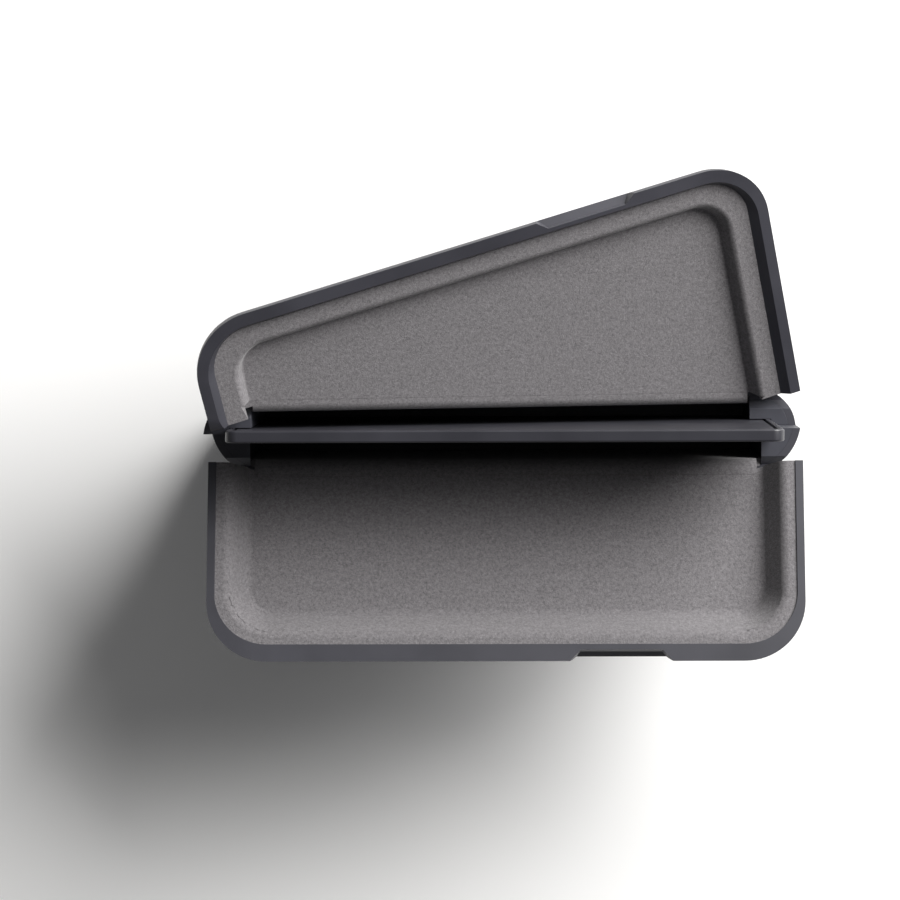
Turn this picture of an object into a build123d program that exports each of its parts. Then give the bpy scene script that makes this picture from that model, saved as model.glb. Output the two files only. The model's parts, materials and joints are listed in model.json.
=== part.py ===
from build123d import *
from dataclasses import dataclass
from math import cos, radians, sin, tan
import os

# Hard-shell card case with two doors. It stands on the flat of its spine, at Z = 0, with both
# doors swung open. X runs along a card's long side, Z from the spine to the front, and the
# mid-plane Y = 0 holds the divider. The upper half lies on the +Y side, the lower on the -Y side.
# Both halves are drawn closed, on the -Y side, by the same functions; each door is then swung
# open about its hinge and the upper half is mirrored across the mid-plane. Sizes in mm, degrees.

# ---- Driving dimensions ----
# A payment card, which the two pockets are made for
card_w = 85.6
card_side_clear = 0.5       # each side, at the floor of the upper pocket
lower_extra_clear = 1.4     # the lower pocket is this much wider each side, for folded notes

# The closed case
case_w = 103.0
case_h = 69.0
corner_r = 10.5             # corners in plan
foot_cut = 1.5              # taken off the rounded spine edge to leave the flat it stands on
skin_t = 1.3                # moulded outer shells
seam_gap = 0.15             # each side of a seam between a door and the body
rim_gap = 0.1               # each closed rim stops this short of the mid-plane
seam_turn_x = 41.3          # the seam follows the hinge to here, then runs straight across the side

# The two halves
upper_depth = 6.4
lower_depth = 8.4
upper_lean = 9.0            # of the outer wall at the seam, from square
lower_lean = 13.0
seam_straight = 0.6         # straight wall between the seam and the round of the outside
upper_floor = 3.85          # lining's face below the mid-plane
lower_floor = 5.3

# Hinges: the upper one crosses the case on a slant
upper_door_left = 16.6      # door's length from the hinge to the front, at the left edge
upper_door_right = 49.8
lower_door_len = 35.1
upper_open = 68.8           # how far each door stands open
lower_open = 75.5
web_t = 0.7                 # flexible strip that joins a door to the body
web_land = 5.0              # hidden under the lining, each side
web_bend_r = 1.2
web_end_clear = 0.6
upper_cloth_end = 0.4       # hinge cloths, over the strips, are this much shorter than the pockets
lower_cloth_end = 0.9
hinge_groove = 1.5          # each side, in the outer shells

# Rims and linings of the doors
upper_rim_side = 1.75
upper_rim_front = 2.2
upper_slope_side = 1.55
upper_slope_front = 0.85
upper_land_drop = 1.4
lower_rim_side = 1.35
lower_rim_front = 3.0
lower_land_drop = 0.35
upper_land = 3.5
lower_land = 2.0
recess_r = 4.5              # plan corners of the door recesses
recess_wall_upper = 1.3
recess_wall_side_lower = 3.1
recess_wall_front_lower = 4.1
cloth_land = 1.6            # the linings leave this much for the hinge cloth, each side
upper_wall_end = 1.6        # the recess walls stop this far from the hinge line
lower_wall_end = 0.0

# Divider
divider_w = 94.2
divider_t = 2.1
divider_front_gap = 10.3    # behind the closed front
divider_corner_r = 2.0
divider_edge_r = 0.35
divider_seat = 0.9          # its root above the foot
lip_w = 1.0
panel_t = 0.5
panel_groove = 0.45
panel_sink = 0.15           # panels lie below the lip
seat_clear = 0.05
least_r = 0.3               # no corner of the divider goes sharper than this
round_share = 0.4           # most of an edge that its rounding may take

# Pockets
spine_wall = 3.4            # from the foot to the pocket's floor end

# Magnets in the fronts of the doors
magnet_len = 12.0
magnet_x = 30.0
magnet_clear = 0.05
upper_magnet_t = 1.6        # through the door's depth
upper_magnet_w = 2.6
lower_magnet_t = 2.4
lower_magnet_w = 1.5
magnet_cover = 0.3          # lining left over the magnet's inner face
magnet_back = 0.15          # lining left between magnet and shell

# Thumb notches in the front rims
notch_x = 19.9
notch_w_in = 14.0
notch_w_out = 17.8
upper_notch_in = 1.55       # from the front edge
lower_notch_in = 2.0
upper_notch_drop = 0.8      # of the notch's inner wall
lower_notch_drop = 2.6
notch_slope = 2.4           # further drop of the notch's floor, out to the front

# ---- Worked out ----
pocket_half = card_w / 2 + card_side_clear
spine_z = -foot_cut
web_inset = skin_t + web_t / 2      # hinge line below the outer face
far = case_w + case_h
least_flat = 0.001                  # a shorter edge counts as none


@dataclass
class Half:
    name: str
    depth: float
    lean: float
    floor: float
    left: float             # hinge height at the left edge
    right: float            # hinge height at the right edge
    open_angle: float
    rim_side: float
    rim_front: float
    slope_side: float
    slope_front: float
    land_drop: float
    land: float
    wall_side: float
    wall_front: float
    pocket_half: float
    cloth_end: float
    wall_end: float
    magnet_t: float
    magnet_w: float
    notch_in: float
    notch_drop: float
    mirrored: bool

    @property
    def axis_depth(self):
        """Depth of the hinge line below the mid-plane."""
        return self.depth - web_inset

    @property
    def lean_a(self):
        return radians(self.lean)

    @property
    def hinge_dir(self):
        return Vector(case_w, 0, self.right - self.left).normalized()

    @property
    def door_dir(self):
        """In the closed case, square to the hinge and towards the front."""
        along = self.hinge_dir
        return Vector(-along.Z, 0, along.X)

    @property
    def section(self):
        """Plane across the hinge: local x towards the door, local y outwards from the mid-plane."""
        middle = (0, 0, (self.left + self.right) / 2)
        return Plane(origin=middle, x_dir=self.door_dir, z_dir=self.hinge_dir)

    @property
    def cloth_t(self):
        """Thickness of the hinge cloth, which lies level with the linings on both sides."""
        return self.axis_depth - web_t / 2 - self.floor

    @property
    def hinge_axis(self):
        middle = Vector(0, -self.axis_depth, (self.left + self.right) / 2)
        return Axis(middle, self.hinge_dir)


upper = Half(
    name="upper",
    depth=upper_depth,
    lean=upper_lean,
    floor=upper_floor,
    left=case_h - upper_door_left,
    right=case_h - upper_door_right,
    open_angle=upper_open,
    rim_side=upper_rim_side,
    rim_front=upper_rim_front,
    slope_side=upper_slope_side,
    slope_front=upper_slope_front,
    land_drop=upper_land_drop,
    land=upper_land,
    wall_side=recess_wall_upper,
    wall_front=recess_wall_upper,
    pocket_half=pocket_half,
    cloth_end=upper_cloth_end,
    wall_end=upper_wall_end,
    magnet_t=upper_magnet_t,
    magnet_w=upper_magnet_w,
    notch_in=upper_notch_in,
    notch_drop=upper_notch_drop,
    mirrored=True,
)
lower = Half(
    name="lower",
    depth=lower_depth,
    lean=lower_lean,
    floor=lower_floor,
    left=case_h - lower_door_len,
    right=case_h - lower_door_len,
    open_angle=lower_open,
    rim_side=lower_rim_side,
    rim_front=lower_rim_front,
    slope_side=0.0,
    slope_front=0.0,
    land_drop=lower_land_drop,
    land=lower_land,
    wall_side=recess_wall_side_lower,
    wall_front=recess_wall_front_lower,
    pocket_half=pocket_half + lower_extra_clear,
    cloth_end=lower_cloth_end,
    wall_end=lower_wall_end,
    magnet_t=lower_magnet_t,
    magnet_w=lower_magnet_w,
    notch_in=lower_notch_in,
    notch_drop=lower_notch_drop,
    mirrored=False,
)


# ---- Shapes that both halves share ----
def roll(half):
    """Radius and centre (in from the rim, out from the mid-plane) of the round on the outer wall."""
    half_turn = tan(radians(90 - half.lean) / 2)
    tall = (half.depth - seam_straight) / cos(half.lean_a)
    reach = min(tall, corner_r - half.depth * tan(half.lean_a))
    radius = reach / half_turn
    return radius, half.depth * tan(half.lean_a) + reach, half.depth - radius


def wall_section(half, inset):
    """Half of the case's cross-section: x is the distance out from a corner's centre, y the depth."""
    radius, centre_in, centre_out = roll(half)
    radius -= inset
    lean = half.lean_a
    foot = (corner_r - inset / cos(lean), 0)
    turn = (corner_r - centre_in + radius * cos(lean), centre_out + radius * sin(lean))
    mid = (45 + half.lean / 2)
    bulge = (
        corner_r - centre_in + radius * cos(radians(mid)),
        centre_out + radius * sin(radians(mid)),
    )
    crown = (corner_r - centre_in, half.depth - inset)
    edges = [
        Line((0, 0), foot),
        Line(foot, turn),
        ThreePointArc(turn, bulge, crown),
        Line((0, half.depth - inset), (0, 0)),
    ]
    if crown[0] > least_flat:
        edges.insert(3, Line(crown, (0, half.depth - inset)))
    return make_face(edges)


def tray(half, inset=0.0):
    """The closed half as a solid block, or the block that is inset all round from its outside."""
    corner_x = case_w / 2 - corner_r
    corner_z = case_h - corner_r
    mid_z = (case_h + spine_z) / 2
    outline = wall_section(half, inset)
    at_side = Plane(origin=(corner_x, 0, corner_z), x_dir=(1, 0, 0), z_dir=(0, 0, -1))
    at_front = Plane(origin=(corner_x, 0, corner_z), x_dir=(0, 0, 1), z_dir=(1, 0, 0))
    pivot = Axis((corner_x, 0, corner_z), (0, -1, 0))
    quarter = revolve(at_side * outline, axis=pivot, revolution_arc=90)
    quarter += extrude(at_side * outline, amount=corner_z - mid_z)
    quarter += extrude(at_front * outline, amount=-corner_x)
    quarter += block(0, corner_x, 0, half.depth - inset, mid_z, corner_z)
    side = quarter + mirror(quarter, about=Plane.YZ)
    whole = side + mirror(side, about=Plane(origin=(0, 0, mid_z), z_dir=(0, 0, 1)))
    return whole.clean()


def block(x0, x1, out0, out1, z0, z1):
    """A box between two widths, two depths below the mid-plane and two heights."""
    size = (x1 - x0, out1 - out0, z1 - z0)
    return Pos((x0 + x1) / 2, -(out0 + out1) / 2, (z0 + z1) / 2) * Box(*size)


def plan(half_w, front_in, radius, out):
    """Outline with round front corners, parallel to the mid-plane, that runs past the spine."""
    height = case_h - front_in + far
    sheet = Pos(0, case_h - front_in - height / 2) * Rectangle(2 * half_w, height)
    front = sheet.vertices().group_by(Axis.Y)[-1]
    sheet = fillet(front, min(radius, (1 - round_share / 2) * half_w))
    return Plane(origin=(0, -out, 0), x_dir=(1, 0, 0), z_dir=(0, -1, 0)) * sheet


def along_hinge(half, points, reach=far):
    """A prism along the hinge line whose section is the points: (towards door, depth)."""
    return extrude(half.section * make_face(Polyline(*points, close=True)), amount=reach, both=True)


def zone(half, points):
    """Everything along the seam whose section lies inside the points: (towards door, depth)."""
    along = half.hinge_dir
    turn = min(seam_turn_x, case_w / 2)
    slope = along.Z / along.X
    middle = (half.left + half.right) / 2
    rise = [(run / along.X, depth) for run, depth in points]
    outline = make_face(Polyline(*rise, close=True))
    at_left = Plane(origin=(-turn, 0, middle - turn * slope), x_dir=(0, 0, 1), z_dir=(1, 0, 0))
    at_right = Plane(origin=(turn, 0, middle + turn * slope), x_dir=(0, 0, 1), z_dir=(1, 0, 0))
    space = extrude(at_left * outline, amount=2 * turn / along.X, dir=along)
    space += extrude(at_left * outline, amount=-far)
    space += extrude(at_right * outline, amount=far)
    return space


def door_zone(half, near, hinge_near, turn_depth):
    """The door's side of the hinge, at one distance near the mid-plane and another at the hinge."""
    deep = half.depth + 1
    points = [
        (near, -deep),
        (near, turn_depth),
        (hinge_near, half.axis_depth - web_t / 2),
        (hinge_near, deep),
        (far, deep),
        (far, -deep),
    ]
    return zone(half, points)


def body_zone(half, near, hinge_near, turn_depth):
    """The body's side of the hinge, the mirror image of the door's."""
    deep = half.depth + 1
    points = [
        (-near, -deep),
        (-near, turn_depth),
        (-hinge_near, half.axis_depth - web_t / 2),
        (-hinge_near, deep),
        (-far, deep),
        (-far, -deep),
    ]
    return zone(half, points)


def seam_turn(half):
    """Depth at which the tight seam starts to open into the hinge's outer groove."""
    return half.axis_depth - web_t / 2 - hinge_groove


def web_rebate(half):
    """Room for the flexible strip between the shells and what lies inside them."""
    inner = half.axis_depth - web_t / 2
    outer = half.axis_depth + web_t / 2
    reach = web_half_len(half) + seat_clear
    land = web_land + seat_clear
    points = [(-land, inner), (land, inner), (land, outer), (-land, outer)]
    return along_hinge(half, points, reach)


def cloth_room(half):
    """Room in the door's lining for the hinge cloth."""
    points = [
        (-cloth_land, half.floor),
        (cloth_land, half.floor),
        (cloth_land, half.axis_depth),
        (-cloth_land, half.axis_depth),
    ]
    half_w = half.pocket_half - half.cloth_end + seat_clear
    return along_hinge(half, points) & block(-half_w, half_w, 0, half.depth, -far, far)


def wall_room(half):
    """Cut that stops a recess and its side walls short of the hinge line."""
    points = [
        (-cloth_land, -1),
        (half.wall_end, -1),
        (half.wall_end, half.floor),
        (-cloth_land, half.floor),
    ]
    half_w = half.pocket_half + half.wall_side
    return along_hinge(half, points) & block(-half_w, half_w, -far, far, -far, far)


def strip_half_len(half, deepest, land):
    """Half of a hinge strip's length, which stays inside the round of the outer walls."""
    radius, centre_in, centre_out = roll(half)
    inner_r = radius - skin_t
    rise = deepest - centre_out
    edge_in = centre_in - max(inner_r**2 - rise**2, 0) ** 0.5
    along = half.hinge_dir
    slant = abs(along.Z / along.X)
    return (case_w / 2 - edge_in - web_end_clear - slant * land) / along.X


def web_half_len(half):
    return strip_half_len(half, half.axis_depth + web_t / 2, web_land)


# ---- Fixed body ----
def stands(solid):
    """Cut the rounded spine edge back to the flat that the case stands on."""
    return solid & block(-far, far, -far, far, 0, far)


def body_shell(half):
    """Outer moulding of the fixed part, from the spine up to the hinge."""
    shell = tray(half) - tray(half, skin_t)
    spine = tray(half) & block(-far, far, 0, half.depth, spine_z, skin_t)
    shell = stands(shell + spine)
    return shell & body_zone(half, seam_gap, hinge_groove, seam_turn(half))


def inside_body(half):
    """The space that the fixed outer moulding encloses."""
    space = tray(half, skin_t) & block(-far, far, 0, half.depth, skin_t, far)
    return space & body_zone(half, seam_gap, hinge_groove, seam_turn(half))


def pocket_frame(half):
    """Side walls and spine wall of a pocket, in one U-shaped piece that grips the divider."""
    frame = inside_body(half)
    frame -= block(-half.pocket_half, half.pocket_half, 0, half.depth, spine_wall, far)
    frame -= divider_slot()
    return frame - web_rebate(half)


def pocket_lining(half):
    """Lined pad on the pocket's outer side."""
    pad = inside_body(half) & block(
        -half.pocket_half, half.pocket_half, half.floor, half.depth, spine_wall, far
    )
    door_side = [(-cloth_land, -far), (far, -far), (far, far), (-cloth_land, far)]
    pad -= along_hinge(half, door_side)
    return pad - web_rebate(half)


# ---- Doors, closed ----
def rim_plane(half):
    """Everything beyond the small gap that a closed rim leaves to the mid-plane."""
    return block(-far, far, rim_gap, far, -far, far)


def door_cavity(half):
    """The space inside a door's outer moulding: thin face, thicker walls."""
    wall_side = half.rim_side + half.slope_side
    wall_front = half.rim_front + half.slope_front
    walls = plan(case_w / 2 - wall_side, wall_front, corner_r - wall_side, -1)
    return tray(half, skin_t) & extrude(walls, amount=half.depth + 2)


def swing_room(half):
    """The space that a door may fill without crossing the mid-plane as it swings."""
    middle = (0, -half.axis_depth, (half.left + half.right) / 2)
    round_hinge = Plane(origin=middle, z_dir=half.hinge_dir) * Circle(half.axis_depth - rim_gap)
    past_hinge = [(0, -half.depth), (0, far), (far, far), (far, -half.depth)]
    return extrude(round_hinge, amount=far, both=True) + along_hinge(half, past_hinge)


def door_shell(half):
    """Outer moulding of a door, with its rim, the slope inside the rim and the thumb notch."""
    shell = tray(half) - door_cavity(half)
    if half.slope_side > 0:
        top = plan(case_w / 2 - half.rim_side, half.rim_front, corner_r - half.rim_side, 0)
        wall_side = half.rim_side + half.slope_side
        wall_front = half.rim_front + half.slope_front
        bottom = plan(case_w / 2 - wall_side, wall_front, corner_r - wall_side, half.land_drop)
        shell -= loft([top, bottom])
    shell -= thumb_notch(half)
    shell &= rim_plane(half)
    shell &= swing_room(half)
    return shell & door_zone(half, seam_gap, hinge_groove, seam_turn(half))


def thumb_notch(half):
    """Cut in the front rim: a short drop, then a floor that slopes out; flared towards the front."""
    front = case_h + 1
    inner = case_h - half.notch_in
    depth = half.notch_drop + notch_slope
    side = Plane(origin=(notch_x, 0, 0), x_dir=(0, 0, 1), z_dir=(1, 0, 0))
    floor = Polyline(
        (inner, -1),
        (inner, half.notch_drop),
        (case_h, depth),
        (front, depth + 1),
        (front, -1),
        close=True,
    )
    drop = extrude(side * make_face(floor), amount=notch_w_out, both=True)
    flare = (notch_w_out - notch_w_in) / 2 / half.notch_in
    half_out = notch_w_out / 2 + flare
    ends = Polyline(
        (notch_x - notch_w_in / 2, inner),
        (notch_x + notch_w_in / 2, inner),
        (notch_x + half_out, front),
        (notch_x - half_out, front),
        close=True,
    )
    face = Plane(origin=(0, 1, 0), x_dir=(1, 0, 0), z_dir=(0, -1, 0)) * make_face(ends)
    return drop & extrude(face, amount=depth + 3)


def recess(half):
    """Hollow of a door's lining for the cards, from the land down to the floor; open at the hinge."""
    floor_half = half.pocket_half
    top_front = half.rim_front + half.slope_front + half.land
    top = plan(floor_half + half.wall_side, top_front, recess_r + half.wall_side, half.land_drop)
    floor = plan(floor_half, top_front + half.wall_front, recess_r, half.floor)
    return loft([top, floor])


def door_lining(half):
    """Thick moulded pad that fills a door's outer moulding and carries the cloth."""
    pad = door_cavity(half) & block(-far, far, half.land_drop, half.depth, -far, far)
    pad -= recess(half)
    pad &= door_zone(half, seam_gap, hinge_groove, seam_turn(half))
    pad -= cloth_room(half)
    pad -= wall_room(half)
    for side in (-1, 1):
        pad -= magnet(half, side, magnet_clear)
    return pad - web_rebate(half)


def magnet(half, side, grow=0.0):
    """Bar magnet in the front of a door, between the land and the outer moulding."""
    top = half.land_drop + magnet_cover
    bottom = top + half.magnet_t
    radius, centre_in, centre_out = roll(half)
    shell_in = centre_in - ((radius - skin_t) ** 2 - (bottom - centre_out) ** 2) ** 0.5
    near = max(half.rim_front + half.slope_front, shell_in) + magnet_back
    x = side * magnet_x
    return block(
        x - magnet_len / 2 - grow,
        x + magnet_len / 2 + grow,
        top - grow,
        bottom + grow,
        case_h - near - half.magnet_w - grow,
        case_h - near + grow,
    )


# ---- Hinges ----
def bent_strip(half, thick, centre_depth, land, half_len):
    """A strip laid over the hinge line, bent as far as the door stands open."""
    angle = half.open_angle
    shift = centre_depth - half.axis_depth
    bend_r = web_bend_r - shift
    tangent = web_bend_r * tan(radians(angle) / 2)
    centre = Vector(-tangent, half.axis_depth + web_bend_r)
    outer_r = bend_r + thick / 2
    inner_r = bend_r - thick / 2
    door_way = Vector(cos(radians(angle)), sin(radians(angle))) * (land - tangent)
    outer = CenterArc(centre, outer_r, -90, angle)
    inner = CenterArc(centre, inner_r, -90, angle)
    lining_end = Vector(-land, half.axis_depth + web_bend_r - outer_r)
    shell_end = Vector(-land, half.axis_depth + web_bend_r - inner_r)
    edges = [
        Line(lining_end, outer @ 0),
        outer,
        Line(outer @ 1, (outer @ 1) + door_way),
        Line((outer @ 1) + door_way, (inner @ 1) + door_way),
        Line((inner @ 1) + door_way, inner @ 1),
        inner,
        Line(inner @ 0, shell_end),
        Line(shell_end, lining_end),
    ]
    return extrude(half.section * make_face(edges), amount=half_len, both=True)


def hinge_web(half):
    """Flexible strip under both outer mouldings; it bends at the hinge line."""
    return bent_strip(half, web_t, half.axis_depth, web_land, web_half_len(half))


def hinge_fabric(half):
    """Cloth over the strip, level with the pocket's lining and the door's."""
    centre = half.floor + half.cloth_t / 2
    land = cloth_land - seat_clear
    cloth = bent_strip(half, half.cloth_t, centre, land, far)
    half_w = half.pocket_half - half.cloth_end
    return cloth & block(-half_w, half_w, -far, far, -far, far)


# ---- Divider ----
def divider_plan(margin):
    """Outline of the divider on the mid-plane, stepped in by a margin, with round front corners."""
    top = case_h - divider_front_gap - margin
    bottom = divider_seat + skin_t + margin
    sheet = Pos(0, (top + bottom) / 2) * Rectangle(divider_w - 2 * margin, top - bottom)
    sheet = fillet(sheet.vertices().group_by(Axis.Y)[-1], max(divider_corner_r - margin, least_r))
    root_r = corner_r - (case_w - divider_w) / 2 - margin
    return Plane.XZ * fillet(sheet.vertices().group_by(Axis.Y)[0], max(root_r, least_r))


def divider_slot():
    """Room for the divider between the two pocket frames."""
    half_w = divider_w / 2 + seat_clear
    return block(-half_w, half_w, -1, divider_t / 2, divider_seat + skin_t - seat_clear, far)


def divider_frame():
    """Central plate with a lip round both faces."""
    plate = extrude(divider_plan(0), amount=divider_t / 2, both=True)
    front = plate.faces().sort_by(Axis.Z)[-1]
    edges = front.edges().filter_by(Axis.X)
    plate = fillet(edges, min(divider_edge_r, round_share * divider_t))
    for side in (-1, 1):
        well = extrude(divider_plan(lip_w), amount=panel_t + panel_sink)
        plate -= Pos(0, side * divider_t / 2 + (panel_t + panel_sink) * (1 - side) / 2, 0) * well
    return plate


def divider_panel():
    """Thin sheet let into the lower face of the central plate."""
    floor = divider_t / 2 - panel_t - panel_sink
    sheet = extrude(divider_plan(lip_w + panel_groove), amount=panel_t)
    return Pos(0, -floor, 0) * sheet


# ---- Placing and writing ----
def place(half, solid, on_door):
    """Swing a door's piece open, and mirror the upper half across the mid-plane."""
    if on_door:
        solid = solid.rotate(half.hinge_axis, half.open_angle)
    if half.mirrored:
        solid = mirror(solid, about=Plane.XZ)
    return solid


def write(name, solid):
    export_step(solid, f"parts/{name}.step")


def main():
    os.makedirs("parts", exist_ok=True)
    for half in (upper, lower):
        fixed = {
            "body_shell": body_shell(half),
            "pocket_frame": pocket_frame(half),
            "pocket_lining": pocket_lining(half),
            "hinge_web": hinge_web(half),
            "hinge_fabric": hinge_fabric(half),
            "divider_panel": divider_panel(),
        }
        moving = {
            "door_shell": door_shell(half),
            "door_lining": door_lining(half),
            "magnet_left": magnet(half, -1),
            "magnet_right": magnet(half, 1),
        }
        for name, solid in fixed.items():
            write(f"{half.name}_{name}", place(half, solid, False))
        for name, solid in moving.items():
            write(f"{half.name}_{name}", place(half, solid, True))
    write("divider_frame", divider_frame())


main()
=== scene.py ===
import json
import math

import bmesh
import bpy
from bpy.props import FloatProperty, FloatVectorProperty, PointerProperty, StringProperty
from mathutils import Matrix, Vector


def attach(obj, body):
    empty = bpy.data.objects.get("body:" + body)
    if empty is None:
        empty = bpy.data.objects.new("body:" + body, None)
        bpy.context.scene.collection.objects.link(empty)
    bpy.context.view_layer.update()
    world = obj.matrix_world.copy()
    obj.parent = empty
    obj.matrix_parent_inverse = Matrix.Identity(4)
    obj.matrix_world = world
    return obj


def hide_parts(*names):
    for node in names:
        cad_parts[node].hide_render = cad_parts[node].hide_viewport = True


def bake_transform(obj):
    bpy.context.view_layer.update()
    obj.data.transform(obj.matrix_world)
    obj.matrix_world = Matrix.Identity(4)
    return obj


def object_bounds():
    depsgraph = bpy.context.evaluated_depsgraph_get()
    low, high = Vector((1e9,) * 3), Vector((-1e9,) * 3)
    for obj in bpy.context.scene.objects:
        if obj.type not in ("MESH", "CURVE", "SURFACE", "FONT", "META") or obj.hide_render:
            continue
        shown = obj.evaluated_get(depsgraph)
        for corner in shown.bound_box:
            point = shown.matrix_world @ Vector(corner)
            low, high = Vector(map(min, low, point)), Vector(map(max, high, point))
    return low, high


bl_info = {
    "name": "Two-Door Card Case",
    "version": (1, 0, 0),
    "blender": (4, 5, 0),
    "location": "3D View > Sidebar > Card Case",
    "description": "Finishes the mouldings, linings, divider and hinges of a two-door card case",
    "category": "Object",
}

MM = 0.001
WELD = 0.002 * MM  # corners of a CAD mesh closer than this are one corner
FLAT_ANGLE = 0.4  # CAD triangles that meet at less than this, in degrees, are one face
BREAK_ANGLE = 28  # a moulding's edges sharper than this are broken
EASE_ANGLE = 40  # a pad's edges sharper than this are eased
RECESS_ANGLE = 25  # a recess's edges are sharper than this
PAD_EASE = 0.12 * MM
POCKET_EASE = 0.25 * MM
MAGNET_BREAK = 0.15 * MM
BREAK_STEPS = 3
ROUND_STEPS = 5
FLOOR_HALF = 1.5
FLOOR_DROP = 0.02 * MM  # the floor lies this much below the foot
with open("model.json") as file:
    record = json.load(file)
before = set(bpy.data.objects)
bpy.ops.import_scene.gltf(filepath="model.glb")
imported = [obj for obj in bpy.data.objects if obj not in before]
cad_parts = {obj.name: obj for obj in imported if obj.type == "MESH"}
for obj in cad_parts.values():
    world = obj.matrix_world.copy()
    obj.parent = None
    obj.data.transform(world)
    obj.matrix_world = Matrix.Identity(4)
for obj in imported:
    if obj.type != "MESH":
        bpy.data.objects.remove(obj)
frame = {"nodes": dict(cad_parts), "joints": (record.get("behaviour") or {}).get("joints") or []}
CAD_LOW, CAD_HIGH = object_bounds()

BODY = "case_body"
DOORS = {"upper": "upper_door", "lower": "lower_door"}


# ---- Places read from the frame ----
def swing(door):
    """A door's hinge: its place, its axis, and how far the door stands open, in radians."""
    joint = next(j for j in frame["joints"] if j["child"] == door)
    opened = math.radians(-joint["range_deg"][0])
    return Vector(joint["pos_m"]), Vector(joint["axis"]).normalized(), opened


def door_ways(half):
    """Unit vectors square to the hinge: where the closed door, and the open door, runs and faces."""
    place, axis, angle = swing(DOORS[half])
    faces = Vector((0, -math.copysign(1, place.y), 0))
    runs = axis.cross(faces)
    turn = Matrix.Rotation(angle, 3, axis)
    return runs, turn @ runs, turn @ faces


def across_hinge(made, half):
    """Bake the strip's place into its mesh; the hinge's place and ways are read but change nothing."""
    place, axis, angle = swing(DOORS[half])
    closed, opened, faces = door_ways(half)
    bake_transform(made)


# ---- Mesh helpers ----
def welded(node):
    """A bmesh of a CAD node with its loose triangles merged into whole faces."""
    bm = bmesh.new()
    bm.from_mesh(frame["nodes"][node].data)
    bmesh.ops.remove_doubles(bm, verts=bm.verts, dist=WELD)
    flat = math.radians(FLAT_ANGLE)
    bmesh.ops.dissolve_limit(bm, angle_limit=flat, verts=bm.verts, edges=bm.edges)
    return bm


def sharp_edges(bm, angle):
    """Edges where two faces meet at more than an angle in degrees."""
    limit = math.radians(angle)
    return [e for e in bm.edges if len(e.link_faces) == 2 and e.calc_face_angle(0.0) > limit]


def piece(name, bm, node, body, material):
    """Make the finished piece that stands for a CAD node; with no body, it is attached to none."""
    mesh = bpy.data.meshes.new(name)
    bm.to_mesh(mesh)
    bm.free()
    made = bpy.data.objects.new(name, mesh)
    bpy.context.scene.collection.objects.link(made)
    mesh.materials.append(material)
    if body is not None:
        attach(made, body)
    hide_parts(node)
    return made


def apply_modifiers(made):
    """Turn a piece's modifiers into its mesh."""
    graph = bpy.context.evaluated_depsgraph_get()
    mesh = bpy.data.meshes.new_from_object(made.evaluated_get(graph))
    old = made.data
    made.modifiers.clear()
    made.data = mesh
    bpy.data.meshes.remove(old)


def shade_smooth(made, angle):
    """Smooth the shading, except over edges sharper than an angle in degrees; large faces stay flat."""
    made.data.shade_smooth()
    made.data.set_sharp_from_angle(angle=math.radians(angle))
    weigh = made.modifiers.new("Weighted normals", "WEIGHTED_NORMAL")
    weigh.keep_sharp = True
    weigh.weight = 80
    apply_modifiers(made)


def break_edges(made, radius, angle):
    """Round the piece's edges that are sharper than an angle in degrees."""
    bevel = made.modifiers.new("Broken edges", "BEVEL")
    bevel.width = radius
    bevel.segments = BREAK_STEPS
    bevel.limit_method = "ANGLE"
    bevel.angle_limit = math.radians(angle)
    apply_modifiers(made)


def moulded(node, name, body, radius, material):
    """A hard moulding: the CAD shape with its sharp edges broken to a small radius."""
    made = piece(name, welded(node), node, body, material)
    break_edges(made, radius, BREAK_ANGLE)
    shade_smooth(made, 40)
    return made


def round_recess(bm, face_out, convex, radius):
    """Round the recess's outer rim, or else the foot of its walls, on the side that faces the cards."""
    picked = []
    for edge in sharp_edges(bm, RECESS_ANGLE):
        normals = [f.normal.dot(face_out) for f in edge.link_faces]
        if edge.is_convex == convex and min(normals) > 0.2 and max(normals) > 0.98:
            picked.append(edge)
    bmesh.ops.bevel(
        bm,
        geom=picked,
        offset=radius,
        offset_type="OFFSET",
        affect="EDGES",
        segments=ROUND_STEPS,
        profile=0.5,
        material=-1,
        clamp_overlap=False,
        loop_slide=True,
    )


def soft_pad(half, rim_radius, foot_radius, material):
    """A moulded foam pad under cloth: the CAD shape with its recess rounded and its outline eased."""
    node = f"{half}_door_lining"
    bm = welded(node)
    face_out = door_ways(half)[2]
    round_recess(bm, face_out, False, foot_radius)
    round_recess(bm, face_out, True, rim_radius)
    bmesh.ops.recalc_face_normals(bm, faces=bm.faces)
    made = piece(f"{half}_door_pad", bm, node, DOORS[half], material)
    break_edges(made, PAD_EASE, EASE_ANGLE)
    shade_smooth(made, 50)


# ---- Material helpers ----
def linear(hex_code):
    """An sRGB hex colour as the linear colour that a shader takes."""
    channels = [int(hex_code[i : i + 2], 16) / 255 for i in (1, 3, 5)]
    return [c / 12.92 if c <= 0.04045 else ((c + 0.055) / 1.055) ** 2.4 for c in channels] + [1.0]


def add_node(tree, kind, settings=None, inputs=None, links=None):
    """Add a shader node with its properties, its inputs' values, and links from other nodes' outputs."""
    node = tree.nodes.new(kind)
    for key, value in (settings or {}).items():
        setattr(node, key, value)
    for key, value in (inputs or {}).items():
        node.inputs[key].default_value = value
    for key, output in (links or {}).items():
        tree.links.new(output, node.inputs[key])
    return node


def new_material(name):
    """An empty node material with its output and its Principled shader."""
    material = bpy.data.materials.new(name)
    material.use_nodes = True
    tree = material.node_tree
    tree.nodes.clear()
    shader = add_node(tree, "ShaderNodeBsdfPrincipled")
    add_node(tree, "ShaderNodeOutputMaterial", links={"Surface": shader.outputs[0]})
    return material, tree, shader


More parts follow.
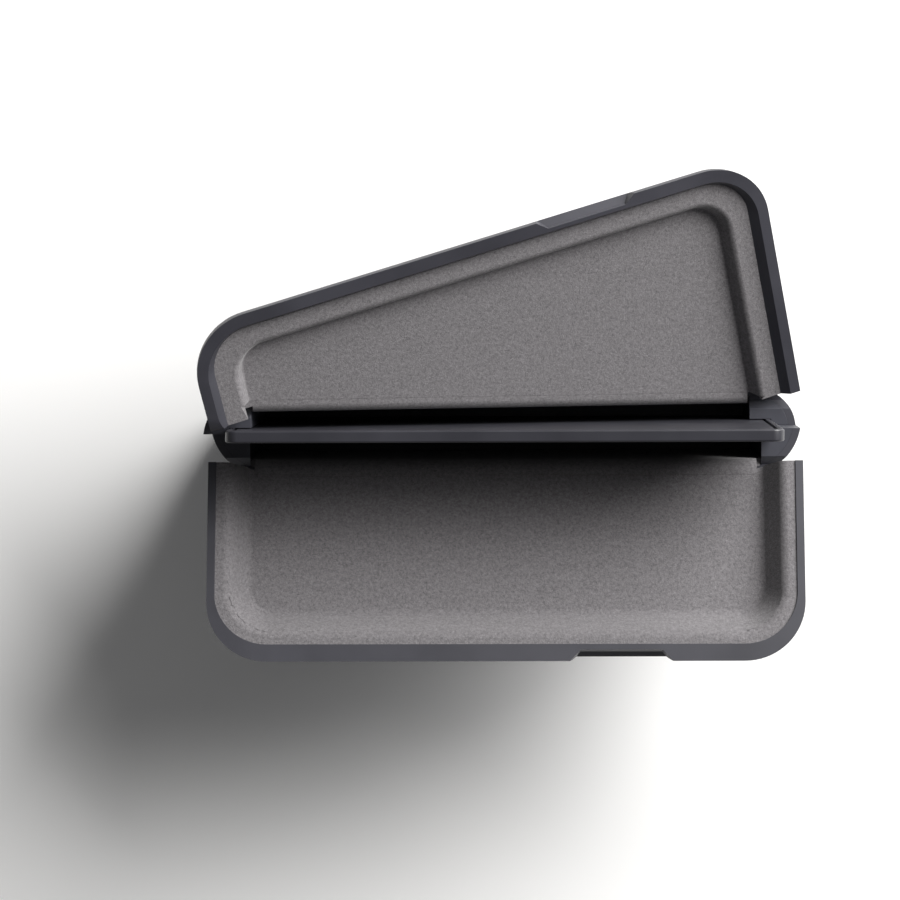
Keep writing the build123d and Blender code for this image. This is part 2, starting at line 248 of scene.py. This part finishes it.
def grain_scale(size_mm):
    """Noise scale, per metre, for grains of a size in millimetres."""
    return 1.0 / (size_mm * MM)


def two_tone(tree, factor, dark, light):
    """Colour that runs from dark to light with a factor."""
    ramp = add_node(tree, "ShaderNodeValToRGB", links={"Fac": factor})
    ramp.color_ramp.elements[0].color = linear(dark)
    ramp.color_ramp.elements[1].color = linear(light)
    ramp.color_ramp.elements[0].position = 0.3
    ramp.color_ramp.elements[1].position = 0.7
    return ramp.outputs["Color"]


def moulded_plastic(name, dark, light, roughness, grain_mm, relief_mm):
    """Injection-moulded plastic from a textured tool: a fine even grain that scatters the highlights."""
    material, tree, shader = new_material(name)
    place = add_node(tree, "ShaderNodeTexCoord").outputs["Object"]
    grain = add_node(
        tree,
        "ShaderNodeTexNoise",
        inputs={"Scale": grain_scale(grain_mm), "Detail": 3.0, "Roughness": 0.6},
        links={"Vector": place},
    ).outputs["Fac"]
    cloud = add_node(
        tree,
        "ShaderNodeTexNoise",
        inputs={"Scale": grain_scale(14.0), "Detail": 4.0, "Roughness": 0.55},
        links={"Vector": place},
    ).outputs["Fac"]
    colour = two_tone(tree, cloud, dark, light)
    rough = add_node(
        tree,
        "ShaderNodeMapRange",
        inputs={
            "From Min": 0.3,
            "From Max": 0.7,
            "To Min": roughness - 0.05,
            "To Max": roughness + 0.05,
        },
        links={"Value": cloud},
    ).outputs["Result"]
    bump = add_node(
        tree,
        "ShaderNodeBump",
        inputs={"Strength": 1.0, "Distance": relief_mm * MM},
        links={"Height": grain},
    ).outputs["Normal"]
    shader.inputs["IOR"].default_value = 1.55
    tree.links.new(colour, shader.inputs["Base Color"])
    tree.links.new(rough, shader.inputs["Roughness"])
    tree.links.new(bump, shader.inputs["Normal"])
    return material


def brushed_cloth(name, dark, light, fibre_mm, nap_mm, relief_mm):
    """Brushed knit bonded to foam: matt, with a mottled nap and a faint sheen at grazing angles."""
    material, tree, shader = new_material(name)
    place = add_node(tree, "ShaderNodeTexCoord").outputs["Object"]
    nap = add_node(
        tree,
        "ShaderNodeTexNoise",
        inputs={"Scale": grain_scale(nap_mm), "Detail": 3.0, "Roughness": 0.65},
        links={"Vector": place},
    ).outputs["Fac"]
    fibre = add_node(
        tree,
        "ShaderNodeTexNoise",
        inputs={"Scale": grain_scale(fibre_mm), "Detail": 2.0, "Roughness": 0.7},
        links={"Vector": place},
    ).outputs["Fac"]
    mixed = add_node(
        tree,
        "ShaderNodeMath",
        settings={"operation": "ADD"},
        links={0: nap, 1: fibre},
    ).outputs[0]
    height = add_node(
        tree, "ShaderNodeMath", settings={"operation": "MULTIPLY"}, inputs={1: 0.5}, links={0: mixed}
    ).outputs[0]
    colour = two_tone(tree, height, dark, light)
    bump = add_node(
        tree,
        "ShaderNodeBump",
        inputs={"Strength": 1.0, "Distance": relief_mm * MM},
        links={"Height": height},
    ).outputs["Normal"]
    shader.inputs["Roughness"].default_value = 0.92
    shader.inputs["Sheen Weight"].default_value = 0.25
    shader.inputs["Sheen Roughness"].default_value = 0.5
    tree.links.new(colour, shader.inputs["Base Color"])
    tree.links.new(bump, shader.inputs["Normal"])
    return material


MADE = {}


def kept(name, maker, *values):
    """One material per name, made the first time that a piece asks for it."""
    if name not in MADE:
        MADE[name] = maker(name, *values)
    return MADE[name]


def shell_plastic():
    # Textured polycarbonate: charcoal with a slight blue cast, satin rather than shiny.
    tone = bpy.context.scene.case_shell
    tones = (tone.dark, tone.light, tone.roughness)
    return kept("textured_polycarbonate", moulded_plastic, *tones, 0.14, 0.006)


def frame_plastic():
    # Smooth ABS of the pocket frames: a little lighter and softer than the outer mouldings.
    tone = bpy.context.scene.case_frame
    tones = (tone.dark, tone.light, tone.roughness)
    return kept("smooth_abs", moulded_plastic, *tones, 0.25, 0.002)


def divider_plastic():
    # Satin polycarbonate of the divider, whose edges catch a crisp line of light.
    tone = bpy.context.scene.case_divider
    tones = (tone.dark, tone.light, tone.roughness)
    return kept("satin_polycarbonate", moulded_plastic, *tones, 0.2, 0.003)


def strip_rubber():
    # Thermoplastic elastomer of the hinge strips: nearly black and dead matt.
    tone = bpy.context.scene.case_hinge
    return kept("hinge_elastomer", moulded_plastic, tone.dark, tone.light, 0.75, 0.3, 0.004)


def lining_cloth():
    # Brushed tricot over foam. The real fibres are finer than the camera can show, so they are coarser.
    tone = bpy.context.scene.case_lining
    sizes = (tone.fibre, tone.nap, tone.relief)
    return kept("brushed_tricot", brushed_cloth, tone.dark, tone.light, *sizes)


def nickel_plated(name):
    """Nickel plating with a faint haze in its gloss."""
    material, tree, shader = new_material(name)
    place = add_node(tree, "ShaderNodeTexCoord").outputs["Object"]
    haze = add_node(
        tree,
        "ShaderNodeTexNoise",
        inputs={"Scale": grain_scale(1.5), "Detail": 3.0},
        links={"Vector": place},
    ).outputs["Fac"]
    rough = add_node(
        tree, "ShaderNodeMapRange", inputs={"To Min": 0.2, "To Max": 0.35}, links={"Value": haze}
    ).outputs["Result"]
    shader.inputs["Metallic"].default_value = 1.0
    shader.inputs["Base Color"].default_value = linear("#b5b0a6")
    tree.links.new(rough, shader.inputs["Roughness"])
    return material


def magnet_metal():
    # Nickel-plated magnet: bright, slightly warm metal.
    return kept("nickel_plate", nickel_plated)


# ---- Settings ----
class ShellSettings(bpy.types.PropertyGroup):
    edge: FloatProperty(
        name="Edge radius",
        description="Break on the moulding's edges",
        default=0.14 * MM,
        unit="LENGTH",
    )
    dark: StringProperty(
        name="Dark tone",
        description="Darker of the two plastic tones",
        default="#2f2f36",
    )
    light: StringProperty(
        name="Light tone",
        description="Lighter of the two plastic tones",
        default="#37373f",
    )
    roughness: FloatProperty(
        name="Roughness",
        description="Of the textured surface",
        default=0.5,
        min=0,
        max=1,
    )


class FrameSettings(bpy.types.PropertyGroup):
    edge: FloatProperty(
        name="Edge radius",
        description="Break on the frame's edges",
        default=0.12 * MM,
        unit="LENGTH",
    )
    dark: StringProperty(
        name="Dark tone",
        description="Darker of the two plastic tones",
        default="#303138",
    )
    light: StringProperty(
        name="Light tone",
        description="Lighter of the two plastic tones",
        default="#363740",
    )
    roughness: FloatProperty(
        name="Roughness",
        description="Of the smooth surface",
        default=0.5,
        min=0,
        max=1,
    )


class DividerSettings(bpy.types.PropertyGroup):
    edge: FloatProperty(
        name="Edge radius",
        description="Break on the divider's edges",
        default=0.18 * MM,
        unit="LENGTH",
    )
    dark: StringProperty(
        name="Dark tone",
        description="Darker of the two plastic tones",
        default="#2a2a30",
    )
    light: StringProperty(
        name="Light tone",
        description="Lighter of the two plastic tones",
        default="#313138",
    )
    roughness: FloatProperty(
        name="Roughness",
        description="Of the satin surface",
        default=0.38,
        min=0,
        max=1,
    )


class LiningSettings(bpy.types.PropertyGroup):
    upper_rim: FloatProperty(
        name="Upper rim",
        description="Rounding of the recess rim",
        default=0.7 * MM,
        unit="LENGTH",
    )
    lower_rim: FloatProperty(
        name="Lower rim",
        description="Rounding of the recess rim",
        default=1.0 * MM,
        unit="LENGTH",
    )
    upper_foot: FloatProperty(
        name="Upper foot",
        description="Rounding where walls meet floor",
        default=0.33 * MM,
        unit="LENGTH",
    )
    lower_foot: FloatProperty(
        name="Lower foot",
        description="Rounding where walls meet floor",
        default=0.8 * MM,
        unit="LENGTH",
    )
    dark: StringProperty(name="Dark fibre", description="Darker fibres of the cloth", default="#4c4a4c")
    light: StringProperty(
        name="Light fibre",
        description="Lighter fibres of the cloth",
        default="#858285",
    )
    fibre: FloatProperty(
        name="Fibre",
        description="Size of the finest tufts, in millimetres",
        default=0.2,
    )
    nap: FloatProperty(
        name="Nap",
        description="Size of the nap's mottling, in millimetres",
        default=0.5,
    )
    relief: FloatProperty(name="Relief", description="Height of the nap, in millimetres", default=0.12)


class HingeSettings(bpy.types.PropertyGroup):
    dark: StringProperty(name="Dark tone", description="Darker tone of the strip", default="#131315")
    light: StringProperty(name="Light tone", description="Lighter tone of the strip", default="#18181a")


class StageSettings(bpy.types.PropertyGroup):
    key: FloatProperty(
        name="Key light",
        description="Power of the large soft light",
        default=16.5,
        unit="POWER",
    )
    key_size: FloatProperty(
        name="Key size",
        description="Side of the soft light",
        default=0.6,
        unit="LENGTH",
    )
    key_away: FloatProperty(
        name="Key distance",
        description="From the case to the light",
        default=0.8,
        unit="LENGTH",
    )
    key_way: FloatVectorProperty(
        name="Key direction",
        description="From the case to the light",
        default=(1.25, 1.1, 1.0),
    )
    sky: FloatProperty(name="Sky", description="Strength of the even surrounding light", default=0.13)
    spot: FloatVectorProperty(
        name="Camera place",
        description="Where the camera stands",
        default=(4.4 * MM, 31.2 * MM, 663.1 * MM),
        unit="LENGTH",
    )
    turn: FloatVectorProperty(
        name="Camera turn",
        description="Tilt about X, Y and Z from looking straight down, in degrees",
        default=(-3.17, 1.28, -0.18),
    )
    lens: FloatProperty(name="Lens", description="Focal length, in millimetres", default=144.16)


# ---- Operators ----
class CASE_OT_outer_mouldings(bpy.types.Operator):
    """Finish the outer mouldings of the body and of both doors"""

    bl_idname = "case.outer_mouldings"
    bl_label = "Outer Mouldings"

    def execute(self, context):
        edge = context.scene.case_shell.edge
        for half, door in DOORS.items():
            moulded(f"{half}_body_shell", f"{half}_body_moulding", BODY, edge, shell_plastic())
            moulded(f"{half}_door_shell", f"{half}_door_moulding", door, edge, shell_plastic())
        return {"FINISHED"}


class CASE_OT_pocket_frames(bpy.types.Operator):
    """Finish the frames that hold the divider and make the pockets' side walls"""

    bl_idname = "case.pocket_frames"
    bl_label = "Pocket Frames"

    def execute(self, context):
        edge = context.scene.case_frame.edge
        for half in DOORS:
            moulded(f"{half}_pocket_frame", f"{half}_pocket_walls", BODY, edge, frame_plastic())
        return {"FINISHED"}


class CASE_OT_divider(bpy.types.Operator):
    """Finish the central divider and the panels let into it"""

    bl_idname = "case.divider"
    bl_label = "Divider"

    def execute(self, context):
        edge = context.scene.case_divider.edge
        moulded("divider_frame", "divider_plate", BODY, edge, divider_plastic())
        for half in DOORS:
            node = f"{half}_divider_panel"
            moulded(node, f"{half}_divider_inlay", BODY, edge / 2, divider_plastic())
        return {"FINISHED"}


class CASE_OT_linings(bpy.types.Operator):
    """Make the moulded cloth-covered pads of the doors and pockets"""

    bl_idname = "case.linings"
    bl_label = "Linings"

    def execute(self, context):
        lining = context.scene.case_lining
        for half in DOORS:
            rim_radius = getattr(lining, f"{half}_rim")
            foot_radius = getattr(lining, f"{half}_foot")
            soft_pad(half, rim_radius, foot_radius, lining_cloth())
            node = f"{half}_pocket_lining"
            pad = moulded(node, f"{half}_pocket_pad", BODY, POCKET_EASE, lining_cloth())
        return {"FINISHED"}


class CASE_OT_hinges(bpy.types.Operator):
    """Make the hinge strips and the cloth over them, each attached to no body"""

    bl_idname = "case.hinges"
    bl_label = "Hinges"

    def execute(self, context):
        for half in DOORS:
            for kind, name, material, slot in (
                ("web", "strip", strip_rubber(), "hinge_strip"),
                ("fabric", "cloth", lining_cloth(), "lining"),
            ):
                node = f"{half}_hinge_{kind}"
                made = piece(f"{half}_hinge_{name}", welded(node), node, None, material)
                shade_smooth(made, 40)
                across_hinge(made, half)
        return {"FINISHED"}


class CASE_OT_magnets(bpy.types.Operator):
    """Finish the bar magnets hidden in the fronts of the doors"""

    bl_idname = "case.magnets"
    bl_label = "Magnets"

    def execute(self, context):
        for half, door in DOORS.items():
            for side in ("left", "right"):
                node = f"{half}_magnet_{side}"
                moulded(node, f"{half}_bar_magnet_{side}", door, MAGNET_BREAK, magnet_metal())
        return {"FINISHED"}


def area_light(name, power, size, place, aim, colour):
    """A square soft light that points at a place."""
    data = bpy.data.lights.new(name, "AREA")
    data.energy = power
    data.shape = "SQUARE"
    data.size = size
    data.color = linear(colour)[:3]
    lamp = bpy.data.objects.new(name, data)
    lamp.location = place
    lamp.rotation_mode = "QUATERNION"
    lamp.rotation_quaternion = (Vector(aim) - Vector(place)).to_track_quat("-Z", "Y")
    bpy.context.scene.collection.objects.link(lamp)


class CASE_OT_stage(bpy.types.Operator):
    """Set the pale floor, the soft studio light and the camera"""

    bl_idname = "case.stage"
    bl_label = "Stage"

    def execute(self, context):
        settings = context.scene.case_stage
        bm = bmesh.new()
        bmesh.ops.create_grid(bm, x_segments=2, y_segments=2, size=FLOOR_HALF)
        mesh = bpy.data.meshes.new("floor")
        bm.to_mesh(mesh)
        bm.free()
        floor = bpy.data.objects.new("floor", mesh)
        floor.location.z = -FLOOR_DROP
        context.scene.collection.objects.link(floor)
        paper, tree, shader = new_material("matt_white_board")
        shader.inputs["Base Color"].default_value = linear("#fcfcfc")
        shader.inputs["Roughness"].default_value = 0.9
        mesh.materials.append(paper)
        middle = (CAD_LOW + CAD_HIGH) / 2
        spot = middle + Vector(settings.key_way).normalized() * settings.key_away
        area_light("Key light", settings.key, settings.key_size, spot, middle, "#fffefc")
        world = bpy.data.worlds.new("Studio")
        world.use_nodes = True
        world.node_tree.nodes["Background"].inputs["Color"].default_value = linear("#ffffff")
        world.node_tree.nodes["Background"].inputs["Strength"].default_value = settings.sky
        context.scene.world = world
        data = bpy.data.cameras.new("Camera")
        data.lens = settings.lens
        data.sensor_width = 36.0
        data.clip_start = 0.05
        data.clip_end = 10.0
        camera = bpy.data.objects.new("Camera", data)
        camera.location = settings.spot
        camera.rotation_mode = "ZYX"
        camera.rotation_euler = [math.radians(a) for a in settings.turn]
        context.scene.collection.objects.link(camera)
        context.scene.camera = camera
        context.scene.view_settings.view_transform = "Standard"
        return {"FINISHED"}


class CASE_PT_panel(bpy.types.Panel):
    """Lists the case's pieces in the order that they are made"""

    bl_idname = "CASE_PT_panel"
    bl_label = "Card Case"
    bl_space_type = "VIEW_3D"
    bl_region_type = "UI"
    bl_category = "Card Case"

    def draw(self, context):
        for operator in OPERATORS:
            self.layout.operator(operator.bl_idname)


OPERATORS = (
    CASE_OT_outer_mouldings,
    CASE_OT_pocket_frames,
    CASE_OT_divider,
    CASE_OT_linings,
    CASE_OT_hinges,
    CASE_OT_magnets,
    CASE_OT_stage,
)
SETTINGS = {
    "case_shell": ShellSettings,
    "case_frame": FrameSettings,
    "case_divider": DividerSettings,
    "case_lining": LiningSettings,
    "case_hinge": HingeSettings,
    "case_stage": StageSettings,
}


def register():
    for group in (*SETTINGS.values(), *OPERATORS, CASE_PT_panel):
        bpy.utils.register_class(group)
    for name, group in SETTINGS.items():
        setattr(bpy.types.Scene, name, PointerProperty(type=group))


def unregister():
    for name in SETTINGS:
        delattr(bpy.types.Scene, name)
    for group in reversed((*SETTINGS.values(), *OPERATORS, CASE_PT_panel)):
        bpy.utils.unregister_class(group)


def main():
    register()
    bpy.ops.case.outer_mouldings()
    bpy.ops.case.pocket_frames()
    bpy.ops.case.divider()
    bpy.ops.case.linings()
    bpy.ops.case.hinges()
    bpy.ops.case.magnets()
    bpy.ops.case.stage()


if __name__ == "__main__":
    main()
